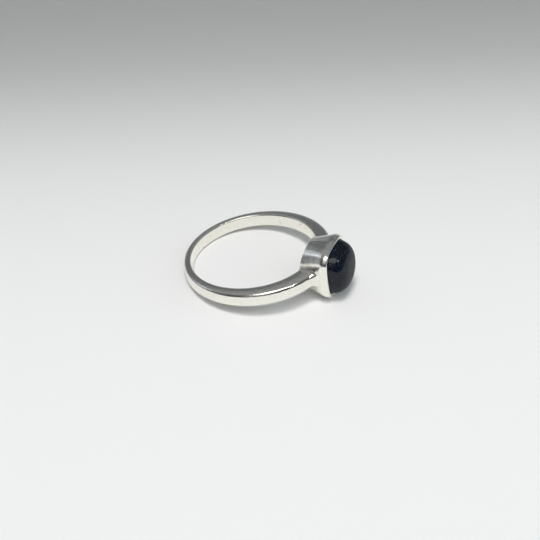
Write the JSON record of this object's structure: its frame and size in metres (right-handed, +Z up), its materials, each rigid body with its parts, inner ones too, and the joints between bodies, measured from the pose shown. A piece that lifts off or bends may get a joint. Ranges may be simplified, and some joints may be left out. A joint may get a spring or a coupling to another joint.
{
  "type": "finger ring",
  "caption": "Polished silver finger ring lying on its side: tapered band, flared cushion collet with a bezel lip and a high dark blue cushion cabochon.",
  "frame": {"origin": "centre of the resting ring's bounding box, on the floor that it lies on", "axes": "+Z up; +X from the back of the band toward the stone, along the ring's length; the finger hole's own axis leans 8.0 degrees from +Z toward -X, because the deep collet lifts the front of the ring"},
  "size_m": [0.0234, 0.02, 0.0074],
  "materials": {
    "silver": "mirror polished sterling silver",
    "stone": "polished very dark blue tiger eye cabochon"
  },
  "bodies": {
    "root": {"ring_body": "silver", "stone": "stone"}
  },
  "joints": []
}
